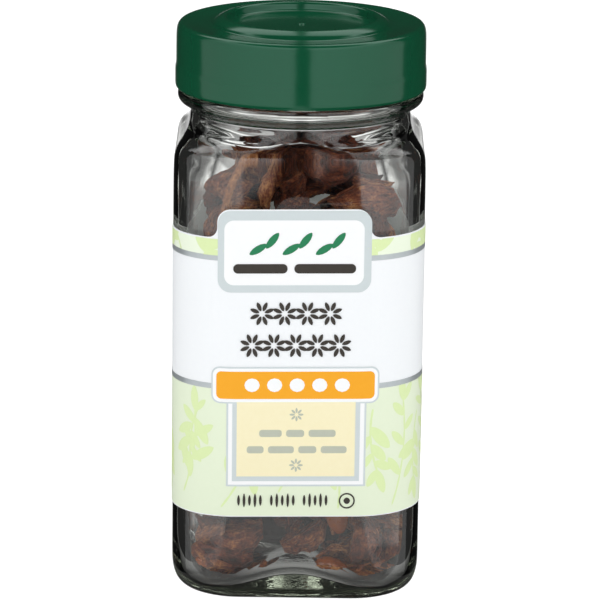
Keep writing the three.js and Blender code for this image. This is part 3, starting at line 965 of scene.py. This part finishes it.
def seat(place, along, mouth, size=1.0):
    """Where a pod or star lies: its middle, the way its length or first pod runs, the way it opens."""
    x_way = Vector(along).normalized()
    y_way = Vector(mouth).cross(x_way).normalized()
    turn = Matrix((x_way, y_way, x_way.cross(y_way))).transposed().to_4x4()
    return Matrix.Translation(place) @ turn @ Matrix.Scale(size, 4)


GLASS_GAP = 0.2
ROOM_CORNER = 9


def room_half(z):
    """Half the width of the room inside the jar at this height."""
    rows = sorted((level, half) for half, level, _ in JAR_INSIDE[4:])
    for (a, low), (b, high) in zip(rows, rows[1:]):
        if z <= b:
            return low + (high - low) * max(0, (z - a) / (b - a))
    return rows[-1][1]


def room_left(point):
    """How far a point is from the glass, inside the jar; less than nothing is in the glass."""
    half = room_half(point.z)
    x, y = square_point(math.atan2(point.y, point.x), half, min(ROOM_CORNER, half))
    return math.hypot(x, y) - point.xy.length


def keep_inside(piece):
    """Presses the points of a pod that reach into the glass back into the room inside the jar."""
    for v in piece.data.vertices:
        short = GLASS_GAP - room_left(v.co)
        if short > 0 and v.co.xy.length > 0.1:
            v.co.xy *= 1 - short / v.co.xy.length


# The stars that show: flat on top, flat below it, on its side at the left, and one at the back. Each has
# its place, the way its first pod runs, the way it opens, its size and its measures.
STARS = [
    ((0.2, 0.8, 82.0), (1, 0.42, 0), (0, 0.14, 0.98), 1.04,
     {"depth": 2.4, "tone": 0.2, "lift": -1, "sag": 0, "rough": 0.5, "gape": 0.6, "beak": 0.1}),
    ((-2, -4.6, 77.2), (0.87, -0.5, -0.18), (0.2, 0.02, 0.98), 0.92, {"beak": 0.2, "lift": 1, "sag": 0}),
    ((-13, -11.4, 71.2), (-0.1, -0.1, 1), (0.75, 0.62, 0.1), 0.62,
     {"length": 12, "width": 6.8, "depth": 7.0, "gape": 1.2, "lift": 24, "sag": 4}),
    ((9, 10.6, 67), (0.3, -0.1, 1), (-0.4, -0.9, 0.1), 0.72, {}),
]
# The loose pods that show above the label, then those below it.
UPPER_PODS = [
    ((17, -13.9, 77.2), (-1, -0.04, -0.36), (-0.05, -0.3, 0.95), 1,
     {"depth": 8.2, "width": 5.6, "length": 13.2, "sag": -9, "gape": 1.7, "tone": 0.7}),
    ((8.6, -9, 76.2), (1, -0.1, -0.16), (0, -0.3, 0.95), 0.84,
     {"depth": 4.6, "length": 11, "gape": 1.0, "tone": 0.8, "beak": 0.3}),
    ((0.6, -8, 79.4), (1, -0.06, -0.2), (0.2, 0.7, 0.7), 0.78, {"gape": 0.7, "tone": 0.3}),
    ((3, 4.4, 78.4), (1, 0.1, -0.05), (0, -0.3, 0.95), 1, {"tone": 0.3, "beak": 0.3}),
    ((5.2, -2.8, 76), (1, 0.3, -0.1), (0, -0.5, 0.85), 0.95, {"tone": 0.2, "beak": 0.5}),
    ((-5.2, -14.2, 70.2), (0.02, -0.03, 1), (0.4, 0.9, 0), 0.66, {"gape": 1.2, "tone": 1.0}),
    ((-0.6, -3.4, 72), (0.15, -1, 0.02), (0.3, 0, 0.95), 0.96, {"gape": 2.0, "tone": 0.6}),
    ((-7.4, -3.6, 70.6), (0.1, -1, 0), (-0.2, 0, 0.97), 0.94, {"gape": 1.6, "tone": 0.5}),
    ((-5.2, -13.8, 60), (0.02, -0.1, 1), (0.9, -0.4, 0), 0.8, {"gape": 1.2, "tone": 0.8}),
    ((-0.6, -13.8, 60.4), (-0.06, -0.08, 1), (0.9, 0.3, 0), 0.84, {"gape": 1.8, "tone": 0.4}),
    ((-12.4, -12.4, 60.8), (-0.04, -0.12, 1), (0.7, -0.6, 0), 0.86, {"gape": 2.0, "tone": 0.6}),
    ((13, -10.2, 60.2), (0.1, -0.06, 1), (-0.6, 0.7, 0.1), 0.78, {"gape": 1.0, "tone": 1.0}),
    ((3.4, -12.6, 66), (1, -0.1, 0.1), (0, -0.6, 0.8), 0.9, {"gape": 2.4, "tone": 0.4}),
]
LOWER_PODS = [
    ((-5, -13.4, 13.4), (-1, 0.03, -0.1), (0, 0.5, 0.85), 1, {"depth": 6.8, "gape": 1.0, "tone": 0.4}),
    ((-6.6, -13.4, 7.2), (-1, 0.02, -0.06), (0, 0.9, 0.3), 0.96, {"gape": 0.8, "width": 6.2, "tone": 0.3}),
    ((-3.4, -14.4, 9.2), (0.85, 0.12, 0.4), (0, 0.75, 0.7), 0.8, {"gape": 0.8, "tone": 0.6}),
    ((14.4, -15, 5.6), (-1, -0.06, 0.2), (-0.05, -0.9, -0.1), 0.86,
     {"depth": 4.4, "sag": 2, "gape": 4.0, "width": 5.2, "tone": 0.9}),
    ((7.6, -14.2, 12.4), (1, 0.05, -0.06), (0.1, -0.85, -0.3), 0.88, {"gape": 3.6, "tone": 0.9}),
    ((7.6, -13.8, 21), (0.02, -0.1, -1), (-0.2, -1, 0), 0.84,
     {"gape": 4.2, "width": 5.6, "depth": 4.6, "tone": 0.9}),
    ((14.6, -15.4, 12.4), (-0.04, -0.1, -1), (0.3, 0.95, 0), 0.6,
     {"depth": 4.4, "gape": 1.0, "tone": 0.2}),
    ((16.2, -11.2, 14.8), (0.1, 0.04, -1), (-0.9, 0.5, 0), 0.8, {"gape": 1.8, "tone": 0.9}),
    ((4, -10, 10.6), (1, -0.1, -0.08), (0, -0.4, 0.9), 1, {"tone": 0.5}),
    ((0.4, -9.4, 16), (-0.3, 0.1, -1), (-0.3, 0.9, 0), 0.84, {"gape": 2.0, "tone": 0.4}),
    ((-8, -13, 19.6), (-1, 0.14, -0.1), (0, 0.6, 0.8), 0.9, {"tone": 0.5}),
]
# Pods deeper in, which show dark between the ones in front.
INNER_PODS = [
    ((-7, 2.4, 76.4), (1, 0.06, -0.06), (0, -0.4, 0.9), 1.05, {"tone": 0.1}),
    ((-13, -3, 74.6), (1, -0.1, -0.08), (0.1, -0.3, 0.9), 0.95, {"tone": 0.3}),
    ((16, 1.6, 77.4), (-1, 0.12, -0.04), (0, -0.5, 0.85), 0.95, {"tone": 0.9}),
    ((17, 5.4, 78.4), (-1, 0.1, 0.02), (0, -0.3, 0.95), 0.8, {"depth": 3.4, "tone": 0.6, "beak": 0.3}),
    ((-3, 7.4, 76), (1, 0.1, 0.02), (0, -0.5, 0.9), 1, {"tone": 0.3}),
    ((-3.4, -8.4, 73.6), (0.6, -0.7, -0.4), (0.2, 0.4, 0.9), 0.62, {"tone": 0.4}),
    ((-3.2, -15.2, 64.4), (0.1, 0.06, 1), (0.9, 0.3, 0), 0.56, {"gape": 1.6, "tone": 0.5}),
    ((0.4, -15.4, 64.8), (-0.12, 0.05, 1), (-0.9, 0.5, 0), 0.52, {"gape": 2.2, "tone": 0.2}),
    ((3.4, -15, 64.2), (0.2, 0, 1), (-0.5, 0.9, 0), 0.5, {"gape": 1.2, "tone": 0.7}),
    ((-3.4, -15.6, 17.9), (0.5, 0.05, -0.85), (-0.6, -0.7, -0.3), 0.55, {"gape": 1.6, "tone": 0.1}),
    ((7.2, -15.2, 15.6), (-1, 0.05, -0.12), (0, -0.7, 0.6), 0.5, {"gape": 1.4, "tone": 0.3}),
    ((-4.2, -15, 13.6), (0.9, 0.1, 0.4), (0, -0.5, 0.8), 0.5, {"gape": 2.0, "tone": 0.2}),
    ((-2.2, -14.6, 10.8), (1, 0.1, 0.1), (0, -0.6, 0.7), 0.46, {"gape": 1.0, "tone": 0.5}),
]
# The lists above are for the front. On the other sides, where the pods show less, only those nearest the
# glass are repeated, and the ones above the label lie lower.
SIDE_DROP = 4.5
INNER_Y = -9.5

# Each entry of the heap: its pods with their turns in it, its place, and whether it is modelled finely.
ALONE = Matrix.Identity(4)
heap = []
rng = random.Random(7)
for place, along, mouth, size, measures in STARS:
    heap.append((any_star(rng, **measures), seat(place, along, mouth, size), True))
for place, along, mouth, size, measures in INNER_PODS:
    heap.append(([(any_pod(rng, **measures), ALONE)], seat(place, along, mouth, size), False))
for side in range(4):
    face = Matrix.Rotation(side * math.pi / 2, 4, "Z")
    flip = Vector((-1 if side % 2 else 1, 1, 1))
    for pods in (UPPER_PODS, LOWER_PODS):
        for place, along, mouth, size, measures in pods:
            if side > 0 and place[1] > INNER_Y:
                continue
            at, way, opens = (Vector(a) * flip for a in (place, along, mouth))
            if side > 0:
                measures = {**measures, "tone": rng.random()}
                at.z -= SIDE_DROP if pods is UPPER_PODS else 0
            heap.append(([(any_pod(rng, **measures), ALONE)], face @ seat(at, way, opens, size), side == 0))

FINE_POD = (34, 28)
COARSE_POD = (20, 16)
stars, loose = [], []
for parts, place, fine in heap:
    for pod, grow in parts:
        hull = model_pod(pod, *(FINE_POD if fine else COARSE_POD))
        hull.data.transform(place @ grow)
        keep_inside(hull)
        (stars if len(parts) > 1 else loose).append(hull)


def husk(name, low, middle, high, bright, roughness, depth, streak=2.6):
    """Dry woody husk: patchy and speckled, with broken fibres that run along the pod."""
    material, tree, shader = new_material(name, {"Roughness": roughness, "IOR": 1.5})
    place = add_node(tree, "ShaderNodeTexCoord").outputs["Object"]
    # Patches 2.5 mm across, speckles of 0.4 mm, fibres 0.4 mm apart and about 3 mm long.
    grain = add_node(tree, "ShaderNodeAttribute", {"attribute_name": "grain"}).outputs["Vector"]
    fibres = add_node(tree, "ShaderNodeMapping", {"Vector": grain, "Scale": (0.34, streak, 1.0)}).outputs[0]
    clouds = []
    for vector, scale, detail, rough in (
        (place, 400.0, 3.0, 0.55),
        (place, 2000.0, 5.0, 0.7),
        (fibres, 1.0, 8.0, 0.8),
    ):
        cloud = {"Vector": vector, "Scale": scale, "Detail": detail, "Roughness": rough}
        clouds.append(add_node(tree, "ShaderNodeTexNoise", cloud).outputs["Fac"])
    patches, speckles, streaks = clouds
    # Raised veins, where the skin dried round the fibres: the edges of long cells, bent out of line.
    bend = add_node(tree, "ShaderNodeTexNoise", {"Vector": fibres, "Scale": 0.9, "Detail": 3.0})
    bent = {"operation": "MULTIPLY_ADD", 0: bend.outputs["Color"], 1: (1.6, 1.6, 0.8), 2: fibres}
    bent = add_node(tree, "ShaderNodeVectorMath", bent).outputs[0]
    cells = {"feature": "DISTANCE_TO_EDGE", "Vector": bent, "Scale": 0.8}
    cells = add_node(tree, "ShaderNodeTexVoronoi", cells)
    veins = {"Value": cells.outputs["Distance"], "From Max": 0.16, "To Min": 1.0, "To Max": 0.0}
    veins = add_node(tree, "ShaderNodeMapRange", veins).outputs[0]
    tone = add_node(tree, "ShaderNodeAttribute", {"attribute_name": "tone"}).outputs["Fac"]
    ridge_and_painted_light = add_node(tree, "ShaderNodeAttribute", {"attribute_name": "ridge_and_painted_light"}).outputs["Fac"]
    # What each of them adds to the husk's height and colour. The ridge value paints the wrinkles' crests
    # lighter
    # and their creases darker: painted highlight and painted shade.
    mix = add_node(tree, "ShaderNodeMath", {"operation": "MULTIPLY", 0: streaks, 1: 0.4}).outputs[0]
    for value, share in ((patches, 0.6), (speckles, 0.86), (tone, 0.3), (ridge_and_painted_light, 0.5), (veins, 0.14)):
        share = {"operation": "MULTIPLY_ADD", 0: value, 1: share, 2: mix}
        mix = add_node(tree, "ShaderNodeMath", share).outputs[0]
    shade = add_node(tree, "ShaderNodeMapRange", {"Value": mix, "From Min": 1.02, "From Max": 1.9})
    ramp = add_node(tree, "ShaderNodeValToRGB", {"Fac": shade.outputs[0]})
    stops = ramp.color_ramp.elements
    stops[0].position, stops[0].color = 0.2, ink(low)
    stops[1].position, stops[1].color = 0.92, ink(bright)
    stops.new(0.45).color = ink(middle)
    stops.new(0.7).color = ink(high)
    tree.links.new(ramp.outputs[0], shader.inputs["Base Color"])
    bump = add_node(tree, "ShaderNodeBump", {"Height": mix, "Strength": depth, "Distance": 0.0007})
    tree.links.new(bump.outputs[0], shader.inputs["Normal"])
    return material


# The hull dries dark and wrinkled, with a dull sheen; its crests are painted lighter and its creases darker,
# as painted highlight and painted shade. The lining is smooth, orange-brown and satin. The lip between them
# is the pale, split edge of the wood.
pod_hull = husk("dried_wrinkled_husk", "#180906", "#4f2213", "#86462a", "#c98c58", 0.42, 1.0)
pod_lining = husk("smooth_pod_lining", "#6b2810", "#a04a20", "#c06a35", "#d88d52", 0.3, 0.15, 0.8)
pod_lip = husk("split_pod_lip", "#452414", "#80502f", "#b17d50", "#dcae7a", 0.5, 0.5)
for hulls, name in ((stars, "anise_stars"), (loose, "anise_loose_pods")):
    piece = join_pieces(hulls)
    set_down(piece, name, "dried_pods", pod_hull, pod_lining, pod_lip)
    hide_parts("star_anise")

# The middle of the heap, out of sight behind its stars and pods: a close-packed mass of husk, coloured in
# painted shade.
CORE_ROWS = [(9.8, 7.8, 5), (13.6, 10.2, 7), (14.2, 40, 7), (13.8, 57, 7), (12.2, 61.6, 6)]
CORE_FOOT = 7.6
CORE_HEAD = 64
CORE_LUMP = 1.5
bpy.ops.object.select_all(action="DESELECT")
bpy.ops.mesh.primitive_circle_add(vertices=72, radius=CORE_ROWS[0][0])
core = bpy.context.object
edit_all()
for step, (half, level, corner) in enumerate(softened(CORE_ROWS, 3)):
    if step > 0:
        bpy.ops.mesh.extrude_region_move()
    mesh, ring = selected_points(core)
    for v in ring:
        turn = math.atan2(v.co.y, v.co.x)
        x, y = square_point(turn, half, corner)
        place = Vector((x / 3.2, y / 3.2, level / 3.2))
        lump = 1 + CORE_LUMP * noise.fractal(place, 0.8, 2.2, 4) / half
        v.co = (x * lump, y * lump, level)
    bmesh.update_edit_mesh(core.data)
close_pole(core, CORE_HEAD)
select_ring(core, CORE_ROWS[0][1], 16)
close_pole(core, CORE_FOOT)
finish_shell()
# The same dried husk, painted darker and duller: painted shade, as it looks in the shade of the pods before
# it.
shaded_core_husk = husk("core_husk_painted_shade", "#170b07", "#2e180f", "#4b2a1a", "#734b30", 0.7, 1.0)
set_down(core, "anise_heap_middle", "dried_pods", shaded_core_husk)
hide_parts("star_anise")

# A stalk is a short bent woody stem that the star hung by, thicker at its star's end.
STALK_PATH = [
    Vector((-7.4, -15.4, 79.0)), Vector((-9.6, -16.4, 79.1)), Vector((-11.4, -17.3, 76.6)),
    Vector((-12.7, -17.9, 72)), Vector((-13.3, -17.9, 66.4)),
]
STALK_THIN = 0.62
STALK_THICK = 0.92


def give_grain(piece, shade):
    """Gives a small piece an even wrinkle height and painted light, this tone and a straight grain."""
    for v, high, value, fibre in husk_points(piece):
        high.value, value.value = 0.6, shade
        fibre.vector = (v.co.z, 1.5 * v.co.x, v.co.y)


def path_point(path, part):
    """A point part of the way along a smooth path."""
    last = len(path) - 1
    k = min(int(part * last), last - 1)
    before, a, b, after = path[max(k - 1, 0)], path[k], path[k + 1], path[min(k + 2, last)]
    u = part * last - k
    bow = 2 * before - 5 * a + 4 * b - after
    twist = 3 * a - before - 3 * b + after
    return 0.5 * (2 * a + (b - before) * u + bow * u * u + twist * u ** 3)


def model_stalk(path, thin, thick):
    """A closed tube of twelve sides along a path, with a woody unevenness."""
    bpy.ops.mesh.primitive_cylinder_add(vertices=12, radius=1, depth=1, end_fill_type="NGON")
    stalk = bpy.context.object
    bpy.ops.object.mode_set(mode="EDIT")
    bpy.ops.mesh.select_all(action="DESELECT")
    edit = bmesh.from_edit_mesh(stalk.data)
    for edge in edit.edges:
        if abs(edge.verts[0].co.z - edge.verts[1].co.z) > 0.5:
            edge.select_set(True)
    bmesh.update_edit_mesh(stalk.data)
    bpy.ops.mesh.subdivide(number_cuts=26)
    bpy.ops.object.mode_set(mode="OBJECT")
    for v in stalk.data.vertices:
        part = v.co.z + 0.5
        middle = path_point(path, part)
        ahead = (path_point(path, min(part + 0.02, 1)) - path_point(path, max(part - 0.02, 0))).normalized()
        across = ahead.cross(Vector((0, 1, 0))).normalized()
        turn = math.atan2(v.co.y, v.co.x)
        uneven = noise.noise(Vector((3 * math.cos(turn), 3 * math.sin(turn), 9 * part)))
        radius = (thin + (thick - thin) * (1 - part) ** 2) * (1 + 0.22 * uneven)
        if part < 0.001 or part > 0.999:
            radius *= 0.7
        v.co = middle + radius * (math.cos(turn) * across + math.sin(turn) * across.cross(ahead))
    bpy.ops.object.shade_smooth()
    return stalk


# Dried stalk wood: paler than the husk, fibrous and dull.
stalk_wood = husk("dried_stalk_wood", "#572c16", "#8c532c", "#b67a45", "#d9ab76", 0.6, 0.8)
stalk = model_stalk(STALK_PATH, STALK_THIN, STALK_THICK)
give_grain(stalk, 0.7)
set_down(stalk, "anise_stalk", "dried_pods", stalk_wood)

# Seeds that fell out of the pods: hard, glossy, flat ovals with a blunt scarred end. Each has its
# place, the way its length runs, the way its flat side faces and its length.
SEEDS = [
    ((7.6, -15.4, 14.2), (0.2, 0.1, -1), (0.1, -1, 0), 6.2),
    ((6.8, -16.2, 5.4), (1, 0.05, -0.32), (0, -0.5, 0.85), 6.2),
    ((-15.6, -15.8, 5.6), (0.8, 0.5, -0.1), (0, -0.5, 0.8), 4.6),
    ((16.6, -12.2, 12.2), (0.1, 0.3, 1), (1, -0.6, 0), 4.4),
    ((10.4, 9.8, 73.6), (0.6, 0.7, 0.1), (0, -0.3, 1), 5.2),
    ((15.8, 6.4, 6.2), (0.2, 1, 0), (1, 0, 0.4), 5.2),
    ((-16.4, 3.2, 7.4), (0.2, 1, 0.2), (-1, 0, 0.3), 4.8),
    ((3.4, 16.2, 6.0), (1, 0.1, 0), (0, 1, 0.5), 5.0),
]


def model_seed(place, along, flat, length):
    """A ball drawn out to a flat oval, narrower and blunt at one end."""
    bpy.ops.mesh.primitive_uv_sphere_add(segments=24, ring_count=16, radius=1)
    seed = bpy.context.object
    for v in seed.data.vertices:
        end = min(v.co.z, 0.9)
        narrow = 1 - 0.16 * end - 0.1 * end * end
        keel = 1 - 0.35 * abs(v.co.x)
        v.co = (0.5 * length * end, 0.33 * length * v.co.x * narrow, 0.22 * length * v.co.y * narrow * keel)
    seed.data.transform(seat(place, along, flat))
    keep_inside(seed)
    bpy.ops.object.shade_smooth()
    return seed


# A hard caramel coat with clouds a millimetre across and a clear gloss.
seed_coat, coat_tree, coat_shader = new_material("glossy_seed_coat", {"Roughness": 0.16})
coat_place = add_node(coat_tree, "ShaderNodeTexCoord").outputs["Object"]
coat_cloud = mottle(coat_tree, coat_shader, coat_place, 900.0, 3.0, "#64290c", "#a4591f")
coat_bump = add_node(coat_tree, "ShaderNodeBump", {"Height": coat_cloud, "Strength": 0.1, "Distance": 0.0002})
coat_tree.links.new(coat_bump.outputs[0], coat_shader.inputs["Normal"])

seeds = join_pieces([model_seed(*seed) for seed in SEEDS])
set_down(seeds, "anise_seeds", "dried_pods", seed_coat)

# Chips of broken husk, 1 to 3 mm across, lie in the angle of the jar's base, lower towards its corners.
CHIPS = 88
CHIP_FOOT = 4.7
CHIP_DROP = 1.4
CHIP_SPREAD = 19


def model_chip(rng):
    """A ball beaten flat and chipped at its edge."""
    bpy.ops.mesh.primitive_ico_sphere_add(subdivisions=2, radius=1)
    chip = bpy.context.object
    size = rng.uniform(0.5, 1.5) * rng.uniform(0.8, 1.1)
    wide, thick, seed = rng.uniform(0.4, 0.9), rng.uniform(0.14, 0.3), rng.uniform(0, 90)
    for v in chip.data.vertices:
        bite = 1 + 0.8 * noise.noise(v.co * 1.3 + Vector((seed, 0, 0)))
        curl = 0.25 * size * v.co.x ** 2
        v.co = (v.co.x * size * bite, v.co.y * size * wide * bite, v.co.z * size * thick + curl)
    side = math.pi / 2 * rng.choice((0, 0, 1, 2, 3))
    across = rng.choice((-1, 1)) * (CHIP_SPREAD - 14 * rng.random() ** 1.7)
    lean = Matrix.Rotation(rng.uniform(-0.8, 0.8), 4, "X") @ Matrix.Rotation(rng.uniform(-0.6, 0.6), 4, "Y")
    depth = -rng.uniform(15.5, 18.6)
    foot = CHIP_FOOT - CHIP_DROP * (across / CHIP_SPREAD) ** 2
    spot = Matrix.Translation((across, depth, foot + 3.2 * rng.random() ** 3))
    turned = Matrix.Rotation(rng.uniform(0, 6.3), 4, "Z")
    chip.data.transform(Matrix.Rotation(side, 4, "Z") @ spot @ lean @ turned)
    keep_inside(chip)
    give_grain(chip, rng.random())
    bpy.ops.object.shade_smooth()
    return chip


# Freshly broken husk: its paler inner wood shows, in orange-brown.
chip_husk = husk("broken_husk_chips", "#4a200e", "#8c4a1f", "#bd7a3c", "#e2b277", 0.5, 0.6)
rng = random.Random(12)
chips = join_pieces([model_chip(rng) for _ in range(CHIPS)])
set_down(chips, "anise_chips", "dried_pods", chip_husk)
